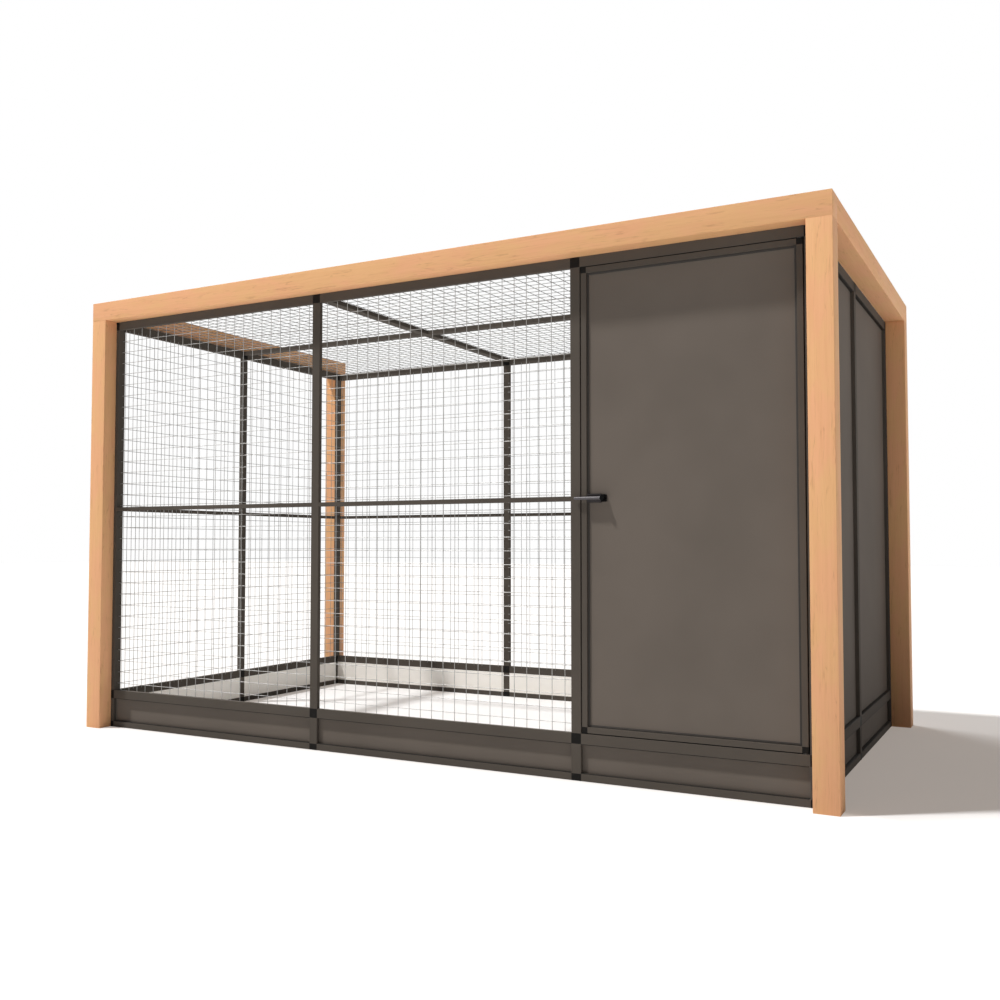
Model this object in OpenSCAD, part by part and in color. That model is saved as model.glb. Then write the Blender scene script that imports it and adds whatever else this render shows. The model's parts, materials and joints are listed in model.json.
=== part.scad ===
// Walk-in pet run: a timber portal of posts and beams, standing round a cage of hollow aluminium
// profiles, black plug connectors, welded wire mesh and sheet panels, with one hinged door.
// Front faces -Y, X runs to the right, Z is up. The origin is the middle of the footprint, on the ground.

/* [Timber frame] */
// Width and depth of a square post or beam
timber_w = 90; // [70:5:140]
// Height of the run over its beams
run_height = 2100; // [1800:10:2600]
// Bevel along the long edges of the timber
timber_bevel = 4; // [1:0.5:10]

/* [Cage layout] */
// Clear width of each mesh bay in the front
mesh_bay = 1216; // [600:1:1600]
// Clear width of the door bay
door_bay = 852; // [650:1:1100]
// Clear depth of each bay in a side wall
side_bay = 857; // [500:1:1300]
// Height of the sill rail
sill_height = 27; // [24:1:45]
// Clear height of the kick panels
kick_height = 112; // [60:1:300]
// Height of the middle rails' centre line
mid_rail_z = 1073; // [700:1:1400]
// Height of a middle rail
mid_rail_height = 18; // [14:1:30]

/* [Cage profile] */
// Face width of the profile
tube_w = 40; // [34:1:60]
// Depth of the profile
tube_t = 20; // [20:1:30]
// Wall of the profile
tube_wall = 2; // [1.5:0.1:2.5]
// Bevel along the edges of the profile
tube_bevel = 0.8; // [0.3:0.1:1.5]
// Depth of the groove that holds a panel
groove_depth = 8; // [5:0.5:10]
// Reach of a connector's arm into a profile
arm_length = 32; // [15:1:40]
// Clearance between an arm and the profile round it
arm_fit = 0.2; // [0.1:0.05:0.5]

/* [Mesh] */
// Spacing of the wires
mesh_pitch = 55; // [40:1:80]
// Diameter of a wire
wire_d = 2.5; // [1.5:0.1:4]
// Distance of the first upright wire from the edge of its bay
mesh_first_s = 25.5; // [10:0.5:39]
// Distance of the lowest wire from the rail below it
mesh_first_z = 32; // [10:0.5:39]
// Overlap of the mesh on the inner face of the frame
mesh_lap = 8; // [4:0.5:14]
// Space left at a weld and between the mesh and the frame
weld_gap = 0.05; // [0.02:0.01:0.2]
// Space between the roof mesh and the timber round it
roof_edge_gap = 2; // [1:0.5:6]

/* [Panels] */
// Thickness of a panel
panel_t = 2.5; // [2:0.1:4]
// Reach of a panel into a groove
panel_tongue = 6; // [3:0.5:7]
// Clearance of a panel in its groove, on each side
panel_fit = 0.2; // [0.1:0.05:0.4]
// Recess of the front, left and rear kick panels behind the face of the frame
kick_recess = 16; // [4:0.5:16]
// Recess of the panels in the closed bays, right of the run and behind the door
wall_recess = 16; // [2.5:0.5:16]
// Thickness of the pale liner behind a kick panel
liner_t = 1.5; // [1:0.5:3]

/* [Door] */
// Gap between the door and the profile at each side
door_side_gap = 5; // [4.5:0.5:10]
// Gap over and under the door
door_end_gap = 4; // [2:0.5:8]
// Face width of the door's frame
door_w = 22; // [20:1:26]
// Clearance between the closed door and its stops
stop_fit = 0.3; // [0.2:0.1:1]
// Depth of the groove in the door's frame
door_groove = 6; // [4:0.5:7]
// Reach of the door's panel into that groove
door_tongue = 5; // [3:0.5:5]
// Recess of the door's panel behind the face of its frame
door_recess = 11; // [3:0.5:14]
// Reach of a corner's arm into the door's frame
door_arm = 26; // [15:1:40]
// Radius of a hinge pin
pin_r = 4; // [3:0.1:5]
// Reach of a hinge pin into the door's corner
pin_reach = 17; // [10:1:18]
// Reach of a hinge pin into its rail
pin_root = 9; // [5:0.5:9]
// Radial clearance of a hinge pin in the door
pin_fit = 0.06; // [0.02:0.01:0.1]
// Radius of a hinge pin's collar
collar_r = 8; // [6:0.5:9]
// Clearance between a collar and the door
collar_fit = 0.3; // [0.1:0.1:0.6]
// Height of a stop strip behind the door
stop_h = 30; // [20:1:40]
// Lap of a stop strip on the door
stop_lap = 10; // [6:1:14]
// Thickness of a stop strip
stop_t = 3; // [2:0.5:5]
// Distance from the profile beside the door to each end of a stop strip
stop_end = 45; // [30:1:90]
// Reach of the strip that covers the gap at the hinge edge
cover_w = 8; // [6:0.5:10]
// Space for the hinge edge to swing, between the frame's inner face and that strip
cover_gap = 6; // [5.5:0.5:8]

/* [Latch] */
// Distance of the lever's axis from the edge of the door
lever_inset = 91; // [60:1:140]
// Width of the rose under the lever
rose_w = 20; // [18:1:30]
// Height of the rose
rose_h = 28; // [26:1:50]
// Radius of the rose's corners
rose_corner = 4; // [2:0.5:8]
// Reach of the rose in front of the door's frame
rose_proud = 3; // [2:0.5:15]
// Radius of the lever's head
head_r = 9; // [8:0.5:14]
// Reach of the head in front of the rose
head_h = 15.5; // [15.5:0.5:24]
// Length of the lever from its axis to its tip
lever_l = 118; // [80:1:160]
// Radius of the lever at the head
lever_r0 = 6.5; // [5:0.5:6.5]
// Radius of the lever at the tip
lever_r1 = 5.5; // [3:0.5:5.5]
// Clearance of the lever in the bore of its head
bar_fit = 0.15; // [0.05:0.05:0.3]
// Radius of the shank that passes through the door
shank_r = 5; // [4:0.5:7]
// Radial clearance round the shank
shank_fit = 0.08; // [0.03:0.01:0.2]
// Lap of the cam behind the mullion
cam_lap = 22; // [12:1:30]
// Width of the cam
cam_w = 24; // [16:1:32]
// Thickness of the cam
cam_t = 4; // [3:0.5:6]
// Clearance between the cam and the back of the mullion
cam_fit = 0.5; // [0.3:0.1:1.5]
// Height of the nut on the shank
nut_h = 6.5; // [4:0.5:10]
// Width of the nut across its corners
nut_d = 17; // [14:0.5:22]

/* [Hidden] */

// Colours, as the photograph shows them
WOOD = [0.85, 0.63, 0.45];
PROFILE = [0.33, 0.31, 0.28];
SHEET = [0.40, 0.37, 0.34];
PLUG = [0.08, 0.08, 0.08];
WIRE = [0.72, 0.73, 0.72];
LINER = [0.90, 0.87, 0.82];
METAL = [0.50, 0.51, 0.54];

// Overshoot of a cut past the face it opens
CUT = 1;
ROUND = 48;
WIRE_ROUND = 16;

// The front and rear frames sit between the posts, flush with the posts' inner faces.
// The side frames stand against the posts' inner faces and run past the front and rear frames.
face_y = timber_w - tube_t;
cage_top = run_height - timber_w;
top_z = cage_top - tube_w;
kick_z = sill_height + kick_height;
bay_z = kick_z + tube_w;
bay_x = timber_w + tube_t;
left_mullion_x = bay_x + mesh_bay;
right_mullion_x = left_mullion_x + tube_w + mesh_bay;
door_x = right_mullion_x + tube_w;
run_width = door_x + door_bay + tube_t + timber_w;
near_stile_y = face_y;
side_mullion_y = near_stile_y + tube_w + side_bay;
far_stile_y = side_mullion_y + tube_w + side_bay;
run_depth = far_stile_y + tube_w + face_y;

// Each bay as [start, end] along its wall, and each upright's start
FRONT_BAYS = [
  [bay_x, left_mullion_x],
  [left_mullion_x + tube_w, right_mullion_x],
  [door_x, door_x + door_bay]
];
MESH_BAYS = [FRONT_BAYS[0], FRONT_BAYS[1]];
SIDE_BAYS = [
  [near_stile_y + tube_w, side_mullion_y],
  [side_mullion_y + tube_w, far_stile_y]
];
MULLIONS = [left_mullion_x, right_mullion_x];

// An edge of a profile is plain, or has a groove at the recess of the panel that it holds.
// An upright's grooves are [towards the wall's start, towards its end].
NONE = -1;
PLAIN = [NONE, NONE];
KICK_BOTH = [kick_recess, kick_recess];

arm_w = tube_w - 2 * (groove_depth + tube_wall + arm_fit);
arm_t = tube_t - 2 * (tube_wall + arm_fit);
sill_arm_w = sill_height - groove_depth - 2 * (tube_wall + arm_fit);
sill_arm_z = (sill_height - groove_depth) / 2;

// The door's outline, its pivot and its lever's axis
door_left = door_x + door_side_gap;
door_right = door_x + door_bay - door_side_gap;
door_low = bay_z + door_end_gap;
door_high = top_z - door_end_gap;
door_t = tube_t - stop_fit;
pivot_x = door_right - door_w / 2;
pivot_d = door_t / 2;
door_arm_w = door_w - door_groove - 2 * (tube_wall + arm_fit);
door_arm_t = door_t - 2 * (tube_wall + arm_fit);
door_arm_u = (door_w - door_groove) / 2;
lever_x = door_left + lever_inset;
lever_d = -rose_proud - head_h / 2;
cam_d = tube_t + cam_fit;
cam_reach = lever_x - door_x + cam_lap;
nut_d0 = cam_d + cam_t;

// A rectangle with bevelled corners, from the origin
module bevelled(w, h, bevel) {
  polygon([
    [bevel, 0], [w - bevel, 0], [w, bevel], [w, h - bevel],
    [w - bevel, h], [bevel, h], [0, h - bevel], [0, bevel]
  ]);
}

// Section of the hollow profile, with a groove in its low or high edge where it holds a panel
module section(w, t, low = NONE, high = NONE, groove = groove_depth) {
  low_wall = tube_wall + (low > NONE ? groove : 0);
  high_wall = tube_wall + (high > NONE ? groove : 0);
  slot = panel_t + 2 * panel_fit;
  difference() {
    bevelled(w, t, tube_bevel);
    translate([low_wall, tube_wall])
      square([w - low_wall - high_wall, t - 2 * tube_wall]);
    if (low > NONE)
      translate([-CUT, low - panel_fit])
        square([groove + CUT, slot]);
    if (high > NONE)
      translate([w - groove, high - panel_fit])
        square([groove + CUT, slot]);
  }
}

// Moves a wall drawn along X, with its outer face on the XZ plane and its depth along +Y, to its side
module in_front() {
  translate([-run_width / 2, face_y - run_depth / 2, 0]) children();
}
module in_rear() {
  translate([-run_width / 2, run_depth / 2 - face_y, 0]) mirror([0, 1, 0]) children();
}
module in_left() {
  translate([timber_w - run_width / 2, -run_depth / 2, 0])
    mirror([1, 0, 0]) rotate([0, 0, 90]) children();
}
module in_right() {
  translate([run_width / 2 - timber_w, -run_depth / 2, 0]) rotate([0, 0, 90]) children();
}

// A level profile in a wall, and an upright one
module rail(bay, z, h = tube_w, low = NONE, high = NONE) {
  translate([bay[1], 0, z]) rotate([0, -90, 0])
    linear_extrude(bay[1] - bay[0]) section(h, tube_t, low, high);
}
module upright(s, z0, z1, grooves) {
  translate([s, 0, z0])
    linear_extrude(z1 - z0) section(tube_w, tube_t, grooves[0], grooves[1]);
}

// An upright in its two lengths, under and over the kick connector
module whole_upright(s, lower, upper) {
  upright(s, sill_height, kick_z, lower);
  upright(s, bay_z, top_z, upper);
}

module rails(bays, z, low = NONE, high = NONE) {
  for (bay = bays) rail(bay, z, tube_w, low, high);
}
module sills(bays, recess = kick_recess) {
  for (bay = bays) rail(bay, 0, sill_height, NONE, recess);
}
module mid_rails(bays) {
  for (bay = bays) rail(bay, mid_rail_z - mid_rail_height / 2, mid_rail_height);
}

// A flat sheet whose edges reach by the tongues [start, end, low, high] into the grooves round it
module sheet(bay, z0, z1, recess, tongues, thick = panel_t) {
  translate([0, recess + thick, 0]) rotate([90, 0, 0])
    linear_extrude(thick)
      union() {
        translate([bay[0] - tongues[0], z0])
          square([bay[1] - bay[0] + tongues[0] + tongues[1], z1 - z0]);
        translate([bay[0], z0 - tongues[2]])
          square([bay[1] - bay[0], z1 - z0 + tongues[2] + tongues[3]]);
      }
}

// Kick panels of a wall, plain at the wall's ends unless its end uprights are grooved
module kick_panels(bays, recess, end_tongue) {
  last = len(bays) - 1;
  for (i = [0:last]) {
    start = i == 0 ? end_tongue : panel_tongue;
    finish = i == last ? end_tongue : panel_tongue;
    sheet(bays[i], sill_height, kick_z, recess, [start, finish, panel_tongue, panel_tongue]);
  }
}
module kick_liner(bays, recess) {
  for (bay = bays) sheet(bay, sill_height, kick_z, recess + panel_t, [0, 0, 0, 0], liner_t);
}

// A wire along +Z or along +X
module wire_up(l) {
  cylinder(d = wire_d, h = l, $fn = WIRE_ROUND);
}
module wire_along(l) {
  rotate([0, 90, 0]) cylinder(d = wire_d, h = l, $fn = WIRE_ROUND);
}

// Welded mesh over one bay, on the inner face of the frame: upright wires first, level wires over them.
// The level wires lap on the uprights beside the bay, but at a corner they stop at the next wall.
module mesh(bay, z0, z1, from_corner = false) {
  near = tube_t + weld_gap + wire_d / 2;
  far = near + wire_d + weld_gap;
  level_start = bay[0] + (from_corner ? weld_gap : -mesh_lap);
  s_end = bay[1] - wire_d;
  z_end = z1 - wire_d;
  for (s = [bay[0] + mesh_first_s : mesh_pitch : s_end])
    translate([s, near, z0 - mesh_lap]) wire_up(z1 - z0 + 2 * mesh_lap);
  for (z = [z0 + mesh_first_z : mesh_pitch : z_end])
    translate([level_start, far, z]) wire_along(bay[1] + mesh_lap - level_start);
}

// Welded mesh lying on the roof rails from x0 to x1, over the whole depth between the timbers
module roof_mesh(x0, x1) {
  low = cage_top + weld_gap + wire_d / 2;
  high = low + wire_d + weld_gap;
  y0 = timber_w + roof_edge_gap;
  y1 = run_depth - face_y - roof_edge_gap;
  first_x = x0 + (x1 - x0 - mesh_pitch * floor((x1 - x0 - 2 * wire_d) / mesh_pitch)) / 2;
  first_y = y0 + (y1 - y0 - mesh_pitch * floor((y1 - y0 - 2 * wire_d) / mesh_pitch)) / 2;
  translate([-run_width / 2, -run_depth / 2, 0]) {
    for (x = [first_x : mesh_pitch : x1 - wire_d])
      translate([x, y0, low]) rotate([-90, 0, 0]) wire_up(y1 - y0);
    for (y = [first_y : mesh_pitch : y1 - wire_d])
      translate([x0, y, high]) wire_along(x1 - x0);
  }
}

// Arms of a plug connector, from the middle of a face, along the wall, up or down, or into the cage
module arm_along(h, l) {
  translate([0, (tube_t - arm_t) / 2, -h / 2]) cube([l, arm_t, h]);
}
module arm_up(w, l) {
  translate([-w / 2, (tube_t - arm_t) / 2, 0]) cube([w, arm_t, l]);
}
module arm_inward(h, l) {
  translate([-arm_t / 2, 0, -h / 2]) cube([arm_t, l, h]);
}

// A plug connector at s: its block, and arms [back, on, down, up] in the profiles that meet it.
// An inward arm at inward_s holds the profile of the next wall round the corner.
module connector(s, z, h, arm_h, arm_z, arms, inward_s) {
  translate([s, tube_t, z]) rotate([90, 0, 0])
    linear_extrude(tube_t) bevelled(tube_w, h, tube_bevel);
  if (arms[0])
    translate([s - arm_length, 0, z + arm_z]) arm_along(arm_h, arm_length + CUT);
  if (arms[1])
    translate([s + tube_w - CUT, 0, z + arm_z]) arm_along(arm_h, arm_length + CUT);
  if (arms[2])
    translate([s + tube_w / 2, 0, z - arm_length]) arm_up(arm_w, arm_length + CUT);
  if (arms[3])
    translate([s + tube_w / 2, 0, z + h - CUT]) arm_up(arm_w, arm_length + CUT);
  if (inward_s >= 0)
    translate([inward_s, tube_t - CUT, z + arm_z]) arm_inward(arm_h, arm_length + CUT);
}

// One level of connectors all round the cage
module connectors(z, h, arm_h, arm_z, down, up) {
  middle = [true, true, down, up];
  in_front() for (s = MULLIONS) connector(s, z, h, arm_h, arm_z, middle, -1);
  in_rear() for (s = MULLIONS) connector(s, z, h, arm_h, arm_z, middle, -1);
  in_left() side_connectors(z, h, arm_h, arm_z, down, up);
  in_right() side_connectors(z, h, arm_h, arm_z, down, up);
}
module side_connectors(z, h, arm_h, arm_z, down, up) {
  near_arm = near_stile_y + tube_t / 2;
  far_arm = far_stile_y + tube_w - tube_t / 2;
  connector(near_stile_y, z, h, arm_h, arm_z, [false, true, down, up], near_arm);
  connector(side_mullion_y, z, h, arm_h, arm_z, [true, true, down, up], -1);
  connector(far_stile_y, z, h, arm_h, arm_z, [true, false, down, up], far_arm);
}

module post(x, y) {
  color(WOOD) translate([x - run_width / 2, y - run_depth / 2, 0])
    linear_extrude(run_height - timber_w) bevelled(timber_w, timber_w, timber_bevel);
}
module post_front_left() { post(0, 0); }
module post_front_right() { post(run_width - timber_w, 0); }
module post_rear_left() { post(0, run_depth - timber_w); }
module post_rear_right() { post(run_width - timber_w, run_depth - timber_w); }

module beam_front() {
  color(WOOD) translate([-run_width / 2, -run_depth / 2, run_height]) rotate([0, 90, 0])
    linear_extrude(run_width) bevelled(timber_w, timber_w, timber_bevel);
}
// The side beams butt against the back of the front beam and lie on the posts
module side_beam(x) {
  color(WOOD) translate([x - run_width / 2, run_depth / 2, run_height - timber_w]) rotate([90, 0, 0])
    linear_extrude(run_depth - timber_w) bevelled(timber_w, timber_w, timber_bevel);
}
module beam_left() { side_beam(0); }
module beam_right() { side_beam(run_width - timber_w); }

// Hole for a hinge pin through a rail of the door bay
module pin_hole(z) {
  translate([pivot_x, pivot_d, z]) cylinder(r = pin_r + pin_fit, h = 2 * tube_wall, $fn = ROUND);
}
module front_top_rails() {
  color(PROFILE) in_front() difference() {
    rails(FRONT_BAYS, top_z);
    pin_hole(top_z - tube_wall / 2);
  }
}
module front_kick_rails() {
  color(PROFILE) in_front() difference() {
    rails(FRONT_BAYS, kick_z, kick_recess);
    pin_hole(bay_z - 3 * tube_wall / 2);
  }
}
module front_sill_rails() { color(PROFILE) in_front() sills(FRONT_BAYS); }
module front_mid_rails() { color(PROFILE) in_front() mid_rails(MESH_BAYS); }
module front_mullions() {
  color(PROFILE) in_front() for (s = MULLIONS) whole_upright(s, KICK_BOTH, PLAIN);
}

module left_top_rails() { color(PROFILE) in_left() rails(SIDE_BAYS, top_z); }
module left_kick_rails() { color(PROFILE) in_left() rails(SIDE_BAYS, kick_z, kick_recess); }
module left_sill_rails() { color(PROFILE) in_left() sills(SIDE_BAYS); }
module left_mid_rails() { color(PROFILE) in_left() mid_rails(SIDE_BAYS); }
module left_uprights() {
  color(PROFILE) in_left() {
    whole_upright(near_stile_y, [NONE, kick_recess], PLAIN);
    whole_upright(side_mullion_y, KICK_BOTH, PLAIN);
    whole_upright(far_stile_y, [kick_recess, NONE], PLAIN);
  }
}

module right_top_rails() { color(PROFILE) in_right() rails(SIDE_BAYS, top_z, wall_recess); }
module right_kick_rails() {
  color(PROFILE) in_right() rails(SIDE_BAYS, kick_z, wall_recess, wall_recess);
}
module right_sill_rails() { color(PROFILE) in_right() sills(SIDE_BAYS, wall_recess); }
module right_uprights() {
  color(PROFILE) in_right() {
    whole_upright(near_stile_y, [NONE, wall_recess], [NONE, wall_recess]);
    whole_upright(side_mullion_y, [wall_recess, wall_recess], [wall_recess, wall_recess]);
    whole_upright(far_stile_y, [wall_recess, NONE], [wall_recess, NONE]);
  }
}

// The rear bay behind the door is closed by a panel, and its other two hold mesh
module rear_top_rails() {
  color(PROFILE) in_rear() {
    rails(MESH_BAYS, top_z);
    rail(FRONT_BAYS[2], top_z, tube_w, wall_recess);
  }
}
module rear_kick_rails() {
  color(PROFILE) in_rear() {
    rails(MESH_BAYS, kick_z, kick_recess);
    rail(FRONT_BAYS[2], kick_z, tube_w, kick_recess, wall_recess);
  }
}
module rear_sill_rails() { color(PROFILE) in_rear() sills(FRONT_BAYS); }
module rear_mid_rails() { color(PROFILE) in_rear() mid_rails(MESH_BAYS); }
module rear_mullions() {
  color(PROFILE) in_rear() {
    whole_upright(left_mullion_x, KICK_BOTH, PLAIN);
    whole_upright(right_mullion_x, KICK_BOTH, [NONE, wall_recess]);
  }
}

// Roof profiles lie flat, their tops level with the top of the cage
module roof_cross_rails() {
  color(PROFILE) translate([-run_width / 2, -run_depth / 2, 0]) for (x = MULLIONS)
    translate([x, run_depth - timber_w, cage_top - tube_t]) rotate([90, 0, 0])
      linear_extrude(run_depth - 2 * timber_w) section(tube_w, tube_t);
}
module roof_spine_rails() {
  color(PROFILE) translate([-run_width / 2, -run_depth / 2, 0]) for (bay = FRONT_BAYS)
    translate([bay[0], side_mullion_y, cage_top - tube_t]) rotate([90, 0, 90])
      linear_extrude(bay[1] - bay[0]) section(tube_w, tube_t);
}

module top_connectors() { color(PLUG) connectors(top_z, tube_w, arm_w, tube_w / 2, true, false); }
module kick_connectors() { color(PLUG) connectors(kick_z, tube_w, arm_w, tube_w / 2, true, true); }
module sill_connectors() {
  color(PLUG) connectors(0, sill_height, sill_arm_w, sill_arm_z, false, true);
}

module front_mesh_left() { color(WIRE) in_front() mesh(FRONT_BAYS[0], bay_z, top_z, true); }
module front_mesh_middle() { color(WIRE) in_front() mesh(FRONT_BAYS[1], bay_z, top_z); }
module left_mesh_front() { color(WIRE) in_left() mesh(SIDE_BAYS[0], bay_z, top_z); }
module left_mesh_rear() { color(WIRE) in_left() mesh(SIDE_BAYS[1], bay_z, top_z); }
module rear_mesh_left() { color(WIRE) in_rear() mesh(FRONT_BAYS[0], bay_z, top_z, true); }
module rear_mesh_middle() { color(WIRE) in_rear() mesh(FRONT_BAYS[1], bay_z, top_z); }
module roof_mesh_left() {
  color(WIRE) roof_mesh(timber_w + roof_edge_gap, left_mullion_x + (tube_w - roof_edge_gap) / 2);
}
module roof_mesh_middle() {
  x0 = left_mullion_x + (tube_w + roof_edge_gap) / 2;
  color(WIRE) roof_mesh(x0, right_mullion_x + (tube_w - roof_edge_gap) / 2);
}
module roof_mesh_right() {
  x0 = right_mullion_x + (tube_w + roof_edge_gap) / 2;
  color(WIRE) roof_mesh(x0, run_width - timber_w - roof_edge_gap);
}

module front_kick_panels() { color(SHEET) in_front() kick_panels(FRONT_BAYS, kick_recess, 0); }
module rear_kick_panels() { color(SHEET) in_rear() kick_panels(FRONT_BAYS, kick_recess, 0); }
module left_kick_panels() {
  color(SHEET) in_left() kick_panels(SIDE_BAYS, kick_recess, panel_tongue);
}
module right_kick_panels() {
  color(SHEET) in_right() kick_panels(SIDE_BAYS, wall_recess, panel_tongue);
}
module kick_liners() {
  color(LINER) {
    in_front() kick_liner(FRONT_BAYS, kick_recess);
    in_rear() kick_liner(FRONT_BAYS, kick_recess);
    in_left() kick_liner(SIDE_BAYS, kick_recess);
    in_right() kick_liner(SIDE_BAYS, wall_recess);
  }
}
module right_wall_panels() {
  tongues = [panel_tongue, panel_tongue, panel_tongue, panel_tongue];
  color(SHEET) in_right() for (bay = SIDE_BAYS) sheet(bay, bay_z, top_z, wall_recess, tongues);
}
// Its right edge is plain, against the upright of the right wall
module rear_wall_panel() {
  tongues = [panel_tongue, 0, panel_tongue, panel_tongue];
  color(SHEET) in_rear() sheet(FRONT_BAYS[2], bay_z, top_z, wall_recess, tongues);
}

module door_section(grooves) {
  section(door_w, door_t, grooves[0], grooves[1], door_groove);
}
module door_stiles() {
  length = door_high - door_low - 2 * door_w;
  color(PROFILE) in_front() translate([0, 0, door_low + door_w]) {
    translate([door_left, 0, 0]) linear_extrude(length) door_section([NONE, door_recess]);
    translate([door_right - door_w, 0, 0]) linear_extrude(length) door_section([door_recess, NONE]);
  }
}
module door_rails() {
  length = door_right - door_left - 2 * door_w;
  color(PROFILE) in_front() translate([door_right - door_w, 0, 0]) {
    translate([0, 0, door_low]) rotate([0, -90, 0])
      linear_extrude(length) door_section([NONE, door_recess]);
    translate([0, 0, door_high - door_w]) rotate([0, -90, 0])
      linear_extrude(length) door_section([door_recess, NONE]);
  }
}

// A corner of the door drawn at its lower left, with arms into the stile and the rail
module door_corner() {
  side = (door_t - door_arm_t) / 2;
  translate([0, door_t, 0]) rotate([90, 0, 0])
    linear_extrude(door_t) bevelled(door_w, door_w, tube_bevel);
  translate([door_w - CUT, side, door_arm_u - door_arm_w / 2])
    cube([door_arm + CUT, door_arm_t, door_arm_w]);
  translate([door_arm_u - door_arm_w / 2, side, door_w - CUT])
    cube([door_arm_w, door_arm_t, door_arm + CUT]);
}
module door_pivot_corner() {
  difference() {
    door_corner();
    translate([door_w / 2, pivot_d, -CUT])
      cylinder(r = pin_r + pin_fit, h = pin_reach + 2 * CUT, $fn = ROUND);
  }
}
module door_corners() {
  color(PLUG) in_front() {
    translate([door_left, 0, door_low]) door_corner();
    translate([door_left, 0, door_high]) mirror([0, 0, 1]) door_corner();
    translate([door_right, 0, door_low]) mirror([1, 0, 0]) door_pivot_corner();
    translate([door_right, 0, door_high]) mirror([0, 0, 1]) mirror([1, 0, 0]) door_pivot_corner();
  }
}
module door_panel() {
  bay = [door_left + door_w, door_right - door_w];
  tongues = [door_tongue, door_tongue, door_tongue, door_tongue];
  color(SHEET) in_front() difference() {
    sheet(bay, door_low + door_w, door_high - door_w, door_recess, tongues);
    translate([lever_x, door_recess - CUT, mid_rail_z]) rotate([-90, 0, 0])
      cylinder(r = shank_r + shank_fit, h = panel_t + 2 * CUT, $fn = ROUND);
  }
}
// Strips on the back of the rails over and under the door, which stop it from swinging inwards,
// and one on the upright beside its hinges, which covers the gap there
module door_stops() {
  color(PROFILE) in_front() {
    for (z = [door_low + stop_lap - stop_h, door_high - stop_lap])
      translate([door_x + stop_end, tube_t, z])
        cube([door_bay - 2 * stop_end, stop_t, stop_h]);
    translate([door_x + door_bay - cover_w, tube_t + cover_gap, bay_z])
      cube([cover_w, stop_t, top_z - bay_z]);
  }
}

// A hinge pin drawn standing on a rail: root in the rail, collar on it, and pin in the door
module hinge_pin() {
  collar_h = door_end_gap - collar_fit;
  translate([0, 0, -pin_root]) cylinder(r = pin_r, h = pin_root + CUT, $fn = ROUND);
  cylinder(r = collar_r, h = collar_h, $fn = ROUND);
  cylinder(r = pin_r, h = door_end_gap + pin_reach - CUT, $fn = ROUND);
}
module hinge_pins() {
  color(METAL) in_front() {
    translate([pivot_x, pivot_d, bay_z]) hinge_pin();
    translate([pivot_x, pivot_d, top_z]) mirror([0, 0, 1]) hinge_pin();
  }
}

// Puts a piece drawn along +Z, from the door's face outwards, on the lever's axis
module on_lever_axis(depth) {
  in_front() translate([lever_x, depth, mid_rail_z]) rotate([90, 0, 0]) children();
}
module handle_rose() {
  rose_d = door_recess + rose_proud;
  corner_x = rose_w / 2 - rose_corner;
  corner_y = rose_h / 2 - rose_corner;
  color(PLUG) on_lever_axis(door_recess) difference() {
    linear_extrude(rose_d) union() {
      square([2 * corner_x, rose_h], center = true);
      square([rose_w, 2 * corner_y], center = true);
      for (x = [-corner_x, corner_x], y = [-corner_y, corner_y])
        translate([x, y]) circle(r = rose_corner, $fn = ROUND);
    }
    translate([0, 0, -CUT]) cylinder(r = shank_r + shank_fit, h = rose_d + 2 * CUT, $fn = ROUND);
  }
}
module lever_head() {
  shank_l = rose_proud + stop_fit + nut_d0 + nut_h + CUT;
  color(PLUG) union() {
    difference() {
      on_lever_axis(-rose_proud - stop_fit)
        cylinder(r = head_r, h = head_h - stop_fit, $fn = ROUND);
      in_front() translate([lever_x - head_r - CUT, lever_d, mid_rail_z]) rotate([0, 90, 0])
        cylinder(r = lever_r0 + bar_fit, h = head_r + CUT + bar_fit, $fn = ROUND);
    }
    on_lever_axis(nut_d0 + nut_h) cylinder(r = shank_r, h = shank_l, $fn = ROUND);
  }
}
module lever_bar() {
  steps = 6;
  dome = [
    for (i = [0:steps])
      [lever_r1 * cos(90 * i / steps), lever_l - lever_r1 * (1 - sin(90 * i / steps))]
  ];
  color(METAL) in_front() translate([lever_x, lever_d, mid_rail_z]) rotate([0, -90, 0])
    rotate_extrude($fn = ROUND)
      polygon(concat([[0, 0], [lever_r0, 0], [lever_r0, head_r]], dome));
}
module latch_cam() {
  color(METAL) in_front() translate([lever_x, cam_d + cam_t, mid_rail_z]) rotate([90, 0, 0])
    difference() {
      union() {
        cylinder(d = cam_w, h = cam_t, $fn = ROUND);
        translate([-cam_reach, -cam_w / 2, 0]) cube([cam_reach, cam_w, cam_t]);
      }
      translate([0, 0, -CUT]) cylinder(r = shank_r + shank_fit, h = cam_t + 2 * CUT, $fn = ROUND);
    }
}
module latch_nut() {
  color(METAL) on_lever_axis(nut_d0 + nut_h) difference() {
    cylinder(d = nut_d, h = nut_h, $fn = 6);
    translate([0, 0, -CUT]) cylinder(r = shank_r + shank_fit, h = nut_h + 2 * CUT, $fn = ROUND);
  }
}

post_front_left();
post_front_right();
post_rear_left();
post_rear_right();
beam_front();
beam_left();
beam_right();
front_top_rails();
front_kick_rails();
front_sill_rails();
front_mid_rails();
front_mullions();
left_top_rails();
left_kick_rails();
left_sill_rails();
left_mid_rails();
left_uprights();
right_top_rails();
right_kick_rails();
right_sill_rails();
right_uprights();
rear_top_rails();
rear_kick_rails();
rear_sill_rails();
rear_mid_rails();
rear_mullions();
roof_cross_rails();
roof_spine_rails();
top_connectors();
kick_connectors();
sill_connectors();
front_mesh_left();
front_mesh_middle();
left_mesh_front();
left_mesh_rear();
rear_mesh_left();
rear_mesh_middle();
roof_mesh_left();
roof_mesh_middle();
roof_mesh_right();
front_kick_panels();
left_kick_panels();
rear_kick_panels();
right_kick_panels();
kick_liners();
right_wall_panels();
rear_wall_panel();
door_stiles();
door_rails();
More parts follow.
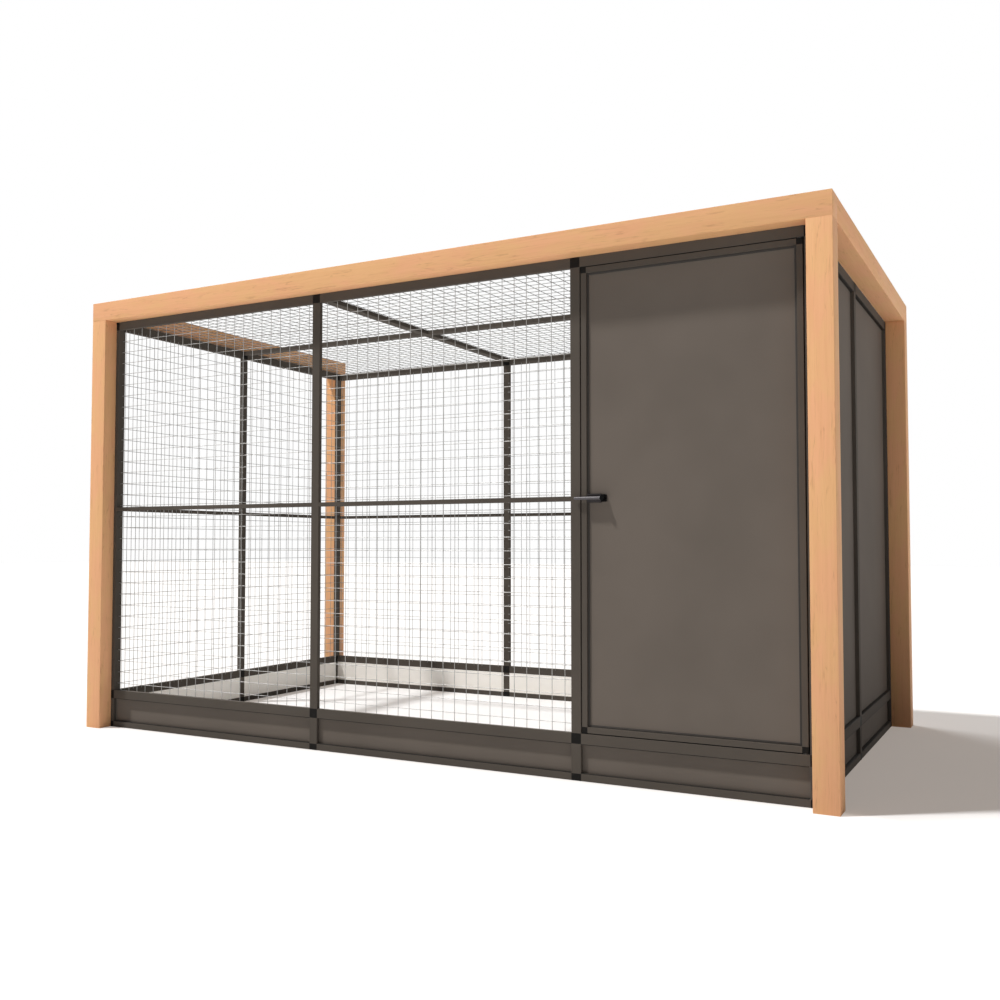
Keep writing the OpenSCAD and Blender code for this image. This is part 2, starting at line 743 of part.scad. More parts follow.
door_corners();
door_panel();
door_stops();
hinge_pins();
handle_rose();
lever_head();
lever_bar();
latch_cam();
latch_nut();
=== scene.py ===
"""Dresses the walk-in pet run: its timber portal, its powder-coated cage, its mesh and its door.

Lengths are in metres. +X runs to the right along the front, +Y to the back and +Z up, and the origin is
the middle of the footprint, on the ground. A rate says how often a pattern changes in a metre.
"""

from __future__ import annotations

import json
import logging
import math
from collections.abc import Callable, Iterable, Sequence
from dataclasses import dataclass
from enum import Enum

import bmesh
import bpy
import numpy as np
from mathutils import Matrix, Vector

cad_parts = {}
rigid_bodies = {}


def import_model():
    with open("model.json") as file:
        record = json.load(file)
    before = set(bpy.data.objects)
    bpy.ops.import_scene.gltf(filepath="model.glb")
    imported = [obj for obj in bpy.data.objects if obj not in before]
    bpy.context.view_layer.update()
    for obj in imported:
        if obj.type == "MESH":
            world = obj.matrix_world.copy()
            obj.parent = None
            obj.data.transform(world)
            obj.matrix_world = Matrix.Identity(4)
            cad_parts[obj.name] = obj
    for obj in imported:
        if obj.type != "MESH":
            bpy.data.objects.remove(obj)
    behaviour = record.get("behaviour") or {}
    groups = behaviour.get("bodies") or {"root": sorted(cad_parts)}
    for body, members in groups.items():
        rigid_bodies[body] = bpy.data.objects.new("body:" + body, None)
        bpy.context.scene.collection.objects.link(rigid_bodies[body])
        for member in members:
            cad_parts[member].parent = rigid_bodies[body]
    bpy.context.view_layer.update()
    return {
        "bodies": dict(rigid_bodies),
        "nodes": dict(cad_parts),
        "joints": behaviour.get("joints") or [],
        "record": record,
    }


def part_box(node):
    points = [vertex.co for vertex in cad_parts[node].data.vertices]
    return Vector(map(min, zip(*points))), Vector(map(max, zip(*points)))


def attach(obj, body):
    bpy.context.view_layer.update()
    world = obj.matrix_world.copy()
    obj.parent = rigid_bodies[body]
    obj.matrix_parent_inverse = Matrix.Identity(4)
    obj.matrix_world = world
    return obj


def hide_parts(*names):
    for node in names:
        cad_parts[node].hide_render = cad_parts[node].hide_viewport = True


log = logging.getLogger("pet_run")

MM = 0.001
# Corners that lie closer than this are one corner.
TOUCHING = 0.001 * MM
# A unit vector lies along an axis when its part on that axis is larger than this.
FACING = 0.99
# The colour sockets of Blender's Mix node, whose names its other sockets share.
MIX_START, MIX_END, MIX_RESULT = 6, 7, 2

Colour = tuple[float, float, float]
Pair = tuple[float, float]


class Link:
    """One output of a finish's node tree, which Python expressions can work on."""

    def __init__(self, tree: bpy.types.NodeTree, socket: bpy.types.NodeSocket) -> None:
        """Holds the socket and the tree that it belongs to."""
        self.tree = tree
        self.socket = socket

    def _math(self, operation: str, *values: Link | float) -> Link:
        """Adds a Math node.

        Args:
            operation: The Math node's operation.
            values: Its inputs, in order.

        Returns:
            The node's output.
        """
        node = self.tree.nodes.new("ShaderNodeMath")
        node.operation = operation
        for slot, value in zip(node.inputs, values):
            if isinstance(value, Link):
                self.tree.links.new(value.socket, slot)
            else:
                slot.default_value = value
        return Link(self.tree, node.outputs[0])

    def __add__(self, other: Link | float) -> Link:
        """Sum."""
        return self._math("ADD", self, other)

    __radd__ = __add__

    def __sub__(self, other: Link | float) -> Link:
        """Difference."""
        return self._math("SUBTRACT", self, other)

    def __rsub__(self, other: Link | float) -> Link:
        """Difference with this link taken away."""
        return self._math("SUBTRACT", other, self)

    def __mul__(self, other: Link | float) -> Link:
        """Product."""
        return self._math("MULTIPLY", self, other)

    __rmul__ = __mul__

    def __truediv__(self, other: Link | float) -> Link:
        """Quotient."""
        return self._math("DIVIDE", self, other)

    def __rtruediv__(self, other: Link | float) -> Link:
        """Quotient with this link as the divisor."""
        return self._math("DIVIDE", other, self)

    def fraction(self) -> Link:
        """The part after the decimal point."""
        return self._math("FRACT", self)

    def root(self) -> Link:
        """Square root."""
        return self._math("SQRT", self)

    def magnitude(self) -> Link:
        """The value without its sign."""
        return self._math("ABSOLUTE", self)

    def larger(self, other: Link | float) -> Link:
        """The larger of two values."""
        return self._math("MAXIMUM", self, other)


Settings = dict[str, object]
Inputs = dict[str | int, Link | float | Sequence[float]]


class Recipe:
    """Builds the node tree of one finish, or of the sky."""

    def __init__(self, holder: bpy.types.Material | bpy.types.World) -> None:
        """Empties the node tree of a new material or world.

        Args:
            holder: The material or world.
        """
        self.holder = holder
        self.holder.use_nodes = True
        self.tree = self.holder.node_tree
        self.tree.nodes.clear()

    def add(
        self, kind: str, settings: Settings | None = None, inputs: Inputs | None = None
    ) -> bpy.types.Node:
        """Adds any node.

        Args:
            kind: The node's type.
            settings: Its properties, which are set first. The key stops gives a colour ramp's stops.
            inputs: Values or links of its sockets, by name or number.

        Returns:
            The node.
        """
        node = self.tree.nodes.new(kind)
        for key, value in (settings or {}).items():
            if key == "stops":
                self._set_stops(node.color_ramp, value)
            else:
                setattr(node, key, value)
        for key, value in (inputs or {}).items():
            if isinstance(value, Link):
                self.tree.links.new(value.socket, node.inputs[key])
            else:
                node.inputs[key].default_value = value
        return node

    @staticmethod
    def _set_stops(ramp: bpy.types.ColorRamp, stops: Sequence[Pair]) -> None:
        """Gives a colour ramp its grey stops, and lets it ease between them.

        Args:
            ramp: The colour ramp.
            stops: Its (position, grey) pairs.
        """
        ramp.interpolation = "EASE"
        while len(ramp.elements) < len(stops):
            ramp.elements.new(1.0)
        for element, (position, grey) in zip(ramp.elements, stops):
            element.position = position
            element.color = (grey, grey, grey, 1.0)

    def node(
        self,
        kind: str,
        settings: Settings | None = None,
        inputs: Inputs | None = None,
        output: str | int = 0,
    ) -> Link:
        """Adds any node, as add does, and takes one of its outputs.

        Args:
            kind: The node's type.
            settings: Its properties.
            inputs: Values or links of its sockets.
            output: The output that is wanted, by name or number.

        Returns:
            That output.
        """
        return Link(self.tree, self.add(kind, settings, inputs).outputs[output])

    def place(self, centre: Sequence[float] = (0.0, 0.0, 0.0)) -> tuple[Link, Link, Link]:
        """The place on the object, measured from a centre.

        Args:
            centre: The point that becomes the origin.

        Returns:
            The three coordinates.
        """
        point = self.node("ShaderNodeTexCoord", output="Object")
        moved = self.node("ShaderNodeVectorMath", {"operation": "SUBTRACT"}, {0: point, 1: centre})
        return tuple(self.node("ShaderNodeSeparateXYZ", inputs={0: moved}, output=i) for i in range(3))

    def vector(self, x: Link | float, y: Link | float, z: Link | float) -> Link:
        """A vector from its three coordinates."""
        return self.node("ShaderNodeCombineXYZ", inputs={0: x, 1: y, 2: z})

    def noise(self, where: Link, rate: float, detail: float = 2.0, roughness: float = 0.5) -> Link:
        """Soft noise.

        Args:
            where: The place that it is read at.
            rate: How often it changes in a unit of that place.
            detail: How many finer octaves it has.
            roughness: How strong those are.

        Returns:
            A value from 0 to 1, about 0.5 on average.
        """
        inputs = {"Vector": where, "Scale": rate, "Detail": detail, "Roughness": roughness}
        return self.node("ShaderNodeTexNoise", inputs=inputs)

    def ramp(self, value: Link, stops: Sequence[Pair]) -> Link:
        """A value sent through a grey ramp, which eases between its stops.

        Args:
            value: The input, from 0 to 1.
            stops: The ramp's (position, grey) pairs.

        Returns:
            The grey.
        """
        return self.node("ShaderNodeValToRGB", {"stops": stops}, {0: value})

    def mix(self, amount: Link | float, start: Link | Colour, end: Link | Colour) -> Link:
        """One colour shading into another.

        Args:
            amount: 0 for the start and 1 for the end.
            start: The first colour.
            end: The second colour.

        Returns:
            The mixed colour.
        """
        first = start if isinstance(start, Link) else (*start, 1.0)
        second = end if isinstance(end, Link) else (*end, 1.0)
        inputs = {0: amount, MIX_START: first, MIX_END: second}
        return self.node("ShaderNodeMix", {"data_type": "RGBA"}, inputs, MIX_RESULT)

    def bump(self, height: Link, depth: float, strength: float) -> Link:
        """Relief in the surface.

        Args:
            height: The relief, from 0 to 1.
            depth: Its depth in metres.
            strength: How much of it shows.

        Returns:
            The normal.
        """
        inputs = {"Height": height, "Distance": depth, "Strength": strength}
        return self.node("ShaderNodeBump", inputs=inputs)

    def seen(self) -> Link:
        """Tells what is seen, straight, in a reflection or through glass, from what only gives light.

        Returns:
            1 on what is seen and 0 on the rest.
        """
        seen = self.node("ShaderNodeLightPath", output="Is Camera Ray")
        for way in ("Is Glossy Ray", "Is Transmission Ray"):
            seen = seen.larger(self.node("ShaderNodeLightPath", output=way))
        return seen

    def finish(
        self,
        colour: Link,
        roughness: Link | float,
        normal: Link,
        metallic: float = 0.0,
        specular: float = 0.5,
        glow: Link | None = None,
    ) -> bpy.types.Material:
        """Joins everything into the surface.

        Args:
            colour: Base colour.
            roughness: From 0, polished, to 1, dull.
            normal: The relief.
            metallic: 1 for bare metal.
            specular: Strength of the shine on what isn't metal.
            glow: The colour of the light that the surface gives off itself.

        Returns:
            The finished material.
        """
        inputs = {
            "Base Color": colour,
            "Roughness": roughness,
            "Metallic": metallic,
            "Normal": normal,
            "Specular IOR Level": specular,
        }
        if glow is not None:
            inputs |= {"Emission Color": glow, "Emission Strength": 1.0}
        surface = self.node("ShaderNodeBsdfPrincipled", inputs=inputs)
        self.add("ShaderNodeOutputMaterial", inputs={"Surface": surface})
        return self.holder


class Run(Enum):
    """The direction in which a timber's grain runs, as (across, across, along) axis numbers."""

    LENGTHWISE = (1, 2, 0)
    CROSSWISE = (0, 2, 1)
    UPRIGHT = (0, 1, 2)


@dataclass(frozen=True)
class OiledTimber:
    """Planed softwood under clear oil, sawn a little off the heart of the log.

    Its rates come as a pair, across the grain and along it.
    """

    name: str
    centre: tuple[float, float, float]
    run: Run
    pith: Pair
    rosy: Colour = (0.786, 0.408, 0.218)
    honey: Colour = (0.764, 0.434, 0.208)
    late: Colour = (0.640, 0.310, 0.135)
    fleck: Colour = (0.400, 0.180, 0.075)
    ring_pitch: float = 7 * MM
    wander: float = 16 * MM
    relief: float = 0.25 * MM
    wander_rate: Pair = (3.0, 0.7)
    streak_rate: Pair = (100.0, 3.0)
    pore_rate: Pair = (330.0, 11.0)
    tone_rate: Pair = (11.0, 4.0)
    check_rate: Pair = (44.0, 3.6)
    check_patch_rate: Pair = (30.0, 5.0)

    def material(self) -> bpy.types.Material:
        """The node tree: rosy and honey patches, growth rings, streaks, wandering checks and pores.

        Returns:
            The finished material.
        """
        mix = Recipe(bpy.data.materials.new(self.name))
        place = mix.place(self.centre)
        wood = tuple(place[axis] for axis in self.run.value)
        fine = mix.noise(self._stretch(mix, wood, self.streak_rate), 1.1, 3.0, 0.6)
        streak = mix.ramp(fine, ((0.32, 0.0), (0.72, 1.0)))
        latewood = self._latewood(mix, wood, streak)
        pore = mix.noise(self._stretch(mix, wood, self.pore_rate), 1.0, 2.0, 0.55)
        flecks = mix.ramp(pore, ((0.60, 0.0), (0.72, 1.0)))
        broad = mix.noise(self._stretch(mix, wood, self.tone_rate), 1.0, 3.0, 0.6)
        tone = mix.ramp(broad, ((0.36, 0.0), (0.62, 1.0)))
        checks = self._checks(mix, wood)
        colour = mix.mix(tone, self.rosy, self.honey)
        colour = mix.mix(latewood * 0.15, colour, self.late)
        colour = mix.mix(streak * 0.15, colour, self.late)
        colour = mix.mix(flecks * 0.20, colour, self.fleck)
        colour = mix.mix(checks * 0.36, colour, self.fleck)
        roughness = 0.54 + streak * 0.10 + flecks * 0.12
        height = 1.0 - latewood * 0.2 - streak * 0.2 - flecks * 0.2 - checks * 0.6
        return mix.finish(colour, roughness, mix.bump(height, self.relief, 0.6), specular=0.10)

    @staticmethod
    def _stretch(mix: Recipe, wood: tuple[Link, Link, Link], rate: Pair) -> Link:
        """The place to read a pattern at that is drawn out along the grain.

        Args:
            mix: The finish's recipe.
            wood: Place in the timber: across the grain, across it the other way, and along it.
            rate: The pattern's rates.

        Returns:
            The place, in the pattern's own units.
        """
        across, along = rate
        return mix.vector(wood[0] * across, wood[1] * across, wood[2] * along)

    def _latewood(self, mix: Recipe, wood: tuple[Link, Link, Link], streak: Link) -> Link:
        """The dark part of each growth ring, round a pith that wanders along the timber.

        Args:
            mix: The finish's recipe.
            wood: Place in the timber, as _stretch takes it.
            streak: The streaks, which fray the rings.

        Returns:
            1 in the middle of the dark part and 0 beside it.
        """
        slow = self._stretch(mix, wood, self.wander_rate)
        drift = mix.noise(slow, 1.6, 1.0) - 0.5
        sway = mix.noise(slow, 1.3, 1.0, 0.4) - 0.5
        offset_1 = wood[0] - self.pith[0] + drift * (2 * self.wander)
        offset_2 = wood[1] - self.pith[1] + sway * (2 * self.wander)
        radius = (offset_1 * offset_1 + offset_2 * offset_2).root()
        ring = (radius * (1.0 / self.ring_pitch) + streak * 0.35).fraction()
        return mix.ramp(ring, ((0.0, 0.0), (0.45, 0.12), (0.86, 1.0), (0.97, 0.1)))

    def _checks(self, mix: Recipe, wood: tuple[Link, Link, Link]) -> Link:
        """Thin drying checks that wander along the grain and come in patches.

        Args:
            mix: The finish's recipe.
            wood: Place in the timber, as _stretch takes it.

        Returns:
            1 in a check and 0 beside it.
        """
        wave = mix.noise(self._stretch(mix, wood, self.check_rate), 1.0, 3.0, 0.5)
        line = mix.ramp((wave - 0.5).magnitude(), ((0.0, 1.0), (0.022, 0.0)))
        patch = mix.noise(self._stretch(mix, wood, self.check_patch_rate), 1.3, 2.0, 0.6)
        return line * mix.ramp(patch, ((0.48, 0.0), (0.62, 1.0)))


@dataclass(frozen=True)
class PowderCoat:
    """Powder coat on aluminium: a fine matt skin with a faint orange peel."""

    name: str
    tone: Colour
    gloss: float
    peel: float = 0.045 * MM
    drift: float = 0.10
    speck_rate: float = 1400.0
    drift_rate: float = 1.7
    peel_rate: float = 420.0

    def material(self) -> bpy.types.Material:
        """The node tree: specks, slow drift of the tone and orange peel.

        Returns:
            The finished material.
        """
        mix = Recipe(bpy.data.materials.new(self.name))
        where = mix.vector(*mix.place())
        specks = mix.noise(where, self.speck_rate, 1.0)
        slow = mix.noise(where, self.drift_rate, 3.0, 0.55)
        peel = mix.noise(where, self.peel_rate, 2.0, 0.5)
        pale = tuple(c * (1 + self.drift) for c in self.tone)
        dark = tuple(c * (1 - self.drift) for c in self.tone)
        colour = mix.mix(mix.ramp(slow, ((0.25, 0.0), (0.75, 1.0))), dark, pale)
        colour = mix.mix(mix.ramp(specks, ((0.62, 0.0), (0.74, 1.0))) * 0.25, colour, pale)
        roughness = self.gloss + (slow - 0.5) * 0.12 + (peel - 0.5) * 0.10
        return mix.finish(colour, roughness, mix.bump(peel, self.peel, 0.8), specular=0.10)


@dataclass(frozen=True)
class MouldedNylon:
    """Dark moulded nylon or rubber with the fine grain of its mould."""

    name: str
    tone: Colour = (0.011, 0.010, 0.009)
    scuffed: Colour = (0.030, 0.028, 0.026)
    grain: float = 0.05 * MM
    grain_rate: float = 1900.0
    scuff_rate: float = 38.0

    def material(self) -> bpy.types.Material:
        """The node tree: mould grain and faint scuffs.

        Returns:
            The finished material.
        """
        mix = Recipe(bpy.data.materials.new(self.name))
        where = mix.vector(*mix.place())
        grain = mix.noise(where, self.grain_rate, 2.0, 0.6)
        scuffs = mix.ramp(mix.noise(where, self.scuff_rate, 4.0, 0.65), ((0.52, 0.0), (0.74, 1.0)))
        colour = mix.mix(scuffs * 0.5, self.tone, self.scuffed)
        roughness = 0.50 + grain * 0.12 - scuffs * 0.06
        return mix.finish(colour, roughness, mix.bump(grain, self.grain, 0.7), specular=0.06)


@dataclass(frozen=True)
class BrushPile:
    """Black polypropylene bristles, set close in a strip. Their rates are across them and along them."""

    name: str
    root: Colour = (0.008, 0.008, 0.008)
    tip: Colour = (0.026, 0.025, 0.024)
    relief: float = 0.2 * MM
    bristle_rate: Pair = (2200.0, 120.0)

    def material(self) -> bpy.types.Material:
        """The node tree: upright bristles, some paler than others.

        Returns:
            The finished material.
        """
        mix = Recipe(bpy.data.materials.new(self.name))
        x, y, z = mix.place()
        across, along = self.bristle_rate
        bristle = mix.noise(mix.vector(x * across, y * across, z * along), 1.0, 2.0, 0.6)
        colour = mix.mix(mix.ramp(bristle, ((0.40, 0.0), (0.66, 1.0))), self.root, self.tip)
        return mix.finish(colour, 0.70 + bristle * 0.2, mix.bump(bristle, self.relief, 0.8), specular=0.05)


@dataclass(frozen=True)
class Zinc:
    """A zinc skin on steel: drifting spangle, dull and bright."""

    name: str
    bright: Colour
    dull: Colour
    metallic: float
    spangle_rate: float
    patch_rate: float = 14.0
    mark_rate: float = 900.0
    relief: float = 0.03 * MM

    def material(self) -> bpy.types.Material:
        """The node tree: spangle, dull patches and drawing marks.

        Returns:
            The finished material.
        """
        mix = Recipe(bpy.data.materials.new(self.name))
        where = mix.vector(*mix.place())
        inputs = {"Vector": where, "Scale": self.spangle_rate}
        cells = mix.node("ShaderNodeTexVoronoi", inputs=inputs, output="Color")
        facet = mix.node("ShaderNodeSeparateColor", inputs={0: cells})
        worn = mix.ramp(mix.noise(where, self.patch_rate, 3.0, 0.6), ((0.35, 0.0), (0.68, 1.0)))
        colour = mix.mix(worn * 0.6 + facet * 0.4, self.bright, self.dull)
        roughness = 0.34 + facet * 0.12 + worn * 0.14
        marks = mix.noise(where, self.mark_rate, 2.0)
        return mix.finish(colour, roughness, mix.bump(marks, self.relief, 0.6), self.metallic)


@dataclass(frozen=True)
class LinerBoard:
    """Pale matt board behind the kick panels, darker and blotchy towards its foot. Its fibres lie level."""

    name: str
    tone: Colour = (0.95, 0.90, 0.835)
    darker_tone: Colour = (0.82, 0.76, 0.68)
    foot: float = 0.03
    head: float = 0.10
    relief: float = 0.08 * MM
    fibre_rate: Pair = (60.0, 420.0)
    blotch_rate: float = 9.0

    def material(self) -> bpy.types.Material:
        """The node tree: faint fibres and a darker, blotchy foot.

        Returns:
            The finished material.
        """
        mix = Recipe(bpy.data.materials.new(self.name))
        x, y, z = mix.place()
        along, across = self.fibre_rate
        fibre = mix.noise(mix.vector(x * along, y * along, z * across), 1.0, 2.0)
        blotch = mix.noise(mix.vector(x, y, z), self.blotch_rate, 4.0, 0.6)
        # Blotchy darkening towards the foot of the board.
        low = mix.ramp((z - self.foot) / (self.head - self.foot), ((0.0, 1.0), (1.0, 0.0)))
        colour = mix.mix(low * blotch * 0.7 + fibre * 0.12, self.tone, self.darker_tone)
        roughness = 0.62 + fibre * 0.12
        return mix.finish(colour, roughness, mix.bump(fibre, self.relief, 0.5))


@dataclass(frozen=True)
class SatinLever:
    """Anodised aluminium, satin, brushed round the lever, which lies along X at rest."""

    name: str
    bright: Colour = (0.125, 0.117, 0.122)
    shade: Colour = (0.075, 0.070, 0.074)
    relief: float = 0.015 * MM
    brush_rate: Pair = (2600.0, 40.0)
    tone_rate: float = 60.0

    def material(self) -> bpy.types.Material:
        """The node tree: brush marks that run round the bar.

        Returns:
            The finished material.
        """
        mix = Recipe(bpy.data.materials.new(self.name))
        x, y, z = mix.place()
        across, along = self.brush_rate
        brush = mix.noise(mix.vector(x * across, y * along, z * along), 1.0, 3.0, 0.6)
        broad = mix.noise(mix.vector(x, y, z), self.tone_rate, 2.0)
        colour = mix.mix(brush * 0.6 + broad * 0.3, self.bright, self.shade)
        normal = mix.bump(brush, self.relief, 0.6)
        return mix.finish(colour, 0.40 + brush * 0.14, normal, metallic=0.35, specular=0.2)


def wear(piece: bpy.types.Object, material: bpy.types.Material) -> None:
    """Gives a piece one finish all over, in place of what it has.

    Args:
        piece: The piece.
        material: Its finish.
    """
    piece.data.materials.clear()
    piece.data.materials.append(material)


def select_only(*pieces: bpy.types.Object) -> None:
    """Leaves edit mode and selects these pieces and no others.

    Args:
        pieces: The pieces, of which the first becomes the active one.
    """
    if bpy.context.object and bpy.context.object.mode != "OBJECT":
        bpy.ops.object.mode_set(mode="OBJECT")
    bpy.ops.object.select_all(action="DESELECT")
    for piece in pieces:
        piece.select_set(True)
    if pieces:
        bpy.context.view_layer.objects.active = pieces[0]


def smooth(piece: bpy.types.Object, angle: float = 40.0) -> None:
    """Leaves edit mode and shades a piece smooth over edges flatter than an angle in degrees."""
    select_only(piece)
    bpy.ops.object.shade_smooth_by_angle(angle=math.radians(angle))


def block(name: str, low: Vector, high: Vector, rounding: float = 0.0) -> bpy.types.Object:
    """Models a block and leaves it in edit mode.

    Args:
        name: Its name.
        low: Its lowest corner.
        high: Its highest corner.
        rounding: Width of the rounding of its edges, or 0 for none.

    Returns:
        The block.
    """
    select_only()
    bpy.ops.mesh.primitive_cube_add(size=1.0, location=(low + high) / 2)
    piece = bpy.context.object
    piece.name = name
    piece.scale = high - low
    bpy.ops.object.transform_apply(location=True, rotation=True, scale=True)
    bpy.ops.object.mode_set(mode="EDIT")
    if rounding:
        bpy.ops.mesh.select_all(action="SELECT")
        bpy.ops.mesh.bevel(offset=rounding, segments=3, affect="EDGES")
    return piece


class Element(Enum):
    """What is picked in edit mode: Blender's name of the select mode, and a mesh's name of its list."""

    EDGE = "edges"
    FACE = "faces"


def pick(
    piece: bpy.types.Object,
    element: Element,
    chosen: Callable[[bmesh.types.BMEdge | bmesh.types.BMFace], bool],
) -> None:
    """Selects the edges or the faces that a test picks, and nothing else.

    Args:
        piece: A piece in edit mode.
        element: Whether edges or faces are picked.
        chosen: The test.
    """
    bpy.ops.mesh.select_mode(type=element.name)
    bpy.ops.mesh.select_all(action="DESELECT")
    mesh = bmesh.from_edit_mesh(piece.data)
    for found in getattr(mesh, element.value):
        found.select_set(chosen(found))
    bmesh.update_edit_mesh(piece.data)


def loose_boxes(source: bpy.types.Object) -> np.ndarray:
    """The boxes of a mesh's separate solids.

    Args:
        source: An object whose mesh holds several separate solids.

    Returns:
        The lowest and highest corner of each, as an array of shape (solids, 2, 3).
    """
    mesh = bmesh.new()
    mesh.from_mesh(source.data)
    bmesh.ops.remove_doubles(mesh, verts=mesh.verts, dist=TOUCHING)
    boxes = []
    done = set()
    for start in mesh.verts:
        if start in done:
            continue
        reached = {start}
        waiting = [start]
        while waiting:
            corner = waiting.pop()
            beside = {edge.other_vert(corner) for edge in corner.link_edges} - reached
            reached |= beside
            waiting.extend(beside)
        done |= reached
        points = np.array([corner.co for corner in reached])
        boxes.append((points.min(axis=0), points.max(axis=0)))
    mesh.free()
    return np.array(boxes)


@dataclass(frozen=True)
class Timber:
    """One square timber of the portal, planed, with eased edges and sawn ends."""

    node: str
    run: Run
    pith: Pair
    lap: Pair = (0.0, 0.0)
    ease: float = 1.8 * MM
    ease_steps: int = 4
    end_ease: float = 1.0 * MM
    end_ease_steps: int = 2
    frame_body: str = "run"

    def build(self) -> None:
        """Models the timber in its node's box and dresses it.

        A side beam laps by a millimetre over the rail of the cage beside it, so that no light shows there.
        """
        low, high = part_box(self.node)
        low = low - Vector((self.lap[0], 0.0, 0.0))
        high = high + Vector((self.lap[1], 0.0, 0.0))
        piece = block(f"timber_{self.node}", low, high)
        pick(piece, Element.EDGE, self._runs_along)
        bpy.ops.mesh.bevel(offset=self.ease, segments=self.ease_steps, affect="EDGES")
        pick(piece, Element.EDGE, self._borders_end)
        bpy.ops.mesh.bevel(offset=self.end_ease, segments=self.end_ease_steps, affect="EDGES")
        smooth(piece)
        finish = OiledTimber(f"oiled_{self.node}", tuple((low + high) / 2), self.run, self.pith)
        wear(piece, finish.material())
        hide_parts(self.node)
        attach(piece, self.frame_body)
        log.info("timber %s: %d faces", self.node, len(piece.data.polygons))

    def _runs_along(self, edge: bmesh.types.BMEdge) -> bool:
        """Whether an edge runs along the timber."""
        way = (edge.verts[1].co - edge.verts[0].co).normalized()
        return abs(way[self.run.value[2]]) > FACING

    def _borders_end(self, edge: bmesh.types.BMEdge) -> bool:
        """Whether an edge lies round an end face."""
        ends = [abs(face.normal[self.run.value[2]]) > FACING for face in edge.link_faces]
        return any(ends) and not all(ends)


@dataclass(frozen=True)
class Portal:
    """The timber portal: four posts, the front beam and the two beams to the back."""

    timbers: tuple[Timber, ...] = (
        Timber("post_front_left", Run.UPRIGHT, (0.020, -0.060)),
        Timber("post_front_right", Run.UPRIGHT, (-0.030, 0.075)),
        Timber("post_rear_left", Run.UPRIGHT, (0.065, 0.030)),
        Timber("post_rear_right", Run.UPRIGHT, (-0.070, -0.020)),
        Timber("beam_front", Run.LENGTHWISE, (0.070, 0.012)),
        Timber("beam_left", Run.CROSSWISE, (-0.060, 0.030), lap=(0.0, 1.2 * MM)),
        Timber("beam_right", Run.CROSSWISE, (-0.075, -0.025), lap=(1.2 * MM, 0.0)),
    )

    def build(self) -> None:
        """Builds every timber."""
        for timber in self.timbers:
            timber.build()


@dataclass(frozen=True)
class Weld:
    """The small nuggets where the wires of the mesh are welded together."""

    across: float = 1.7 * MM
    thick: float = 1.5 * MM
    shading: float = 80.0

    def build(self, node: str, source: bpy.types.Object, material: bpy.types.Material) -> None:
        """Puts a nugget on every crossing of one mesh, all of them as one piece.

        Args:
            node: The mesh's node.
            source: Its CAD object.
            material: Its finish.
        """
        flat, places = self._crossings(loose_boxes(source))
        corners, faces = self._bead()
        stretch = np.full(3, self.across)
        stretch[flat] = self.thick
        vertices = (places[:, None, :] + (corners * stretch)[None]).reshape(-1, 3)
        shift = np.arange(len(places))[:, None, None] * len(corners)
        triangles = (faces[None] + shift).reshape(-1, 3)
        data = bpy.data.meshes.new(f"welds_{node}")
        data.from_pydata(vertices.tolist(), [], triangles.tolist())
        piece = bpy.data.objects.new(f"welds_{node}", data)
        bpy.context.scene.collection.objects.link(piece)
        smooth(piece, self.shading)
        wear(piece, material)
        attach(piece, "run")
        log.info("welds of %s: %d faces", node, len(piece.data.polygons))

    @staticmethod
    def _crossings(wires: np.ndarray) -> tuple[int, np.ndarray]:
        """Finds where the wires of a mesh cross.

        Args:
            wires: Their boxes.

        Returns:
            The axis that the mesh faces along, and the places halfway between two wires that cross.
        """
        middles = (wires[:, 0] + wires[:, 1]) / 2
        spans = wires[:, 1] - wires[:, 0]
        ways = spans.argmax(axis=1)
        first, second = sorted(set(ways))
        flat = ({0, 1, 2} - {first, second}).pop()
        places = []
        for one in np.flatnonzero(ways == first):
            for other in np.flatnonzero(ways == second):
                place = (middles[one] + middles[other]) / 2
                place[first] = middles[other][first]
                place[second] = middles[one][second]
                if abs(place[first] - middles[one][first]) < spans[one][first] / 2:
                    places.append(place)
        return flat, np.array(places)

    @staticmethod
    def _bead() -> tuple[np.ndarray, np.ndarray]:
        """Models one nugget of radius 1 at the origin.

        Returns:
            Its corners and its triangles.
        """
        select_only()
        bpy.ops.mesh.primitive_ico_sphere_add(subdivisions=1, radius=1.0)
        piece = bpy.context.object
        corners = np.array([vertex.co for vertex in piece.data.vertices])
        faces = np.array([face.vertices for face in piece.data.polygons])
        bpy.data.objects.remove(piece)
        return corners, faces


class DoorEdge(Enum):
    """Where a seal lies, under or over the door, with the way that it points: 1 is up and -1 is down."""

    UNDER = 1.0
    OVER = -1.0


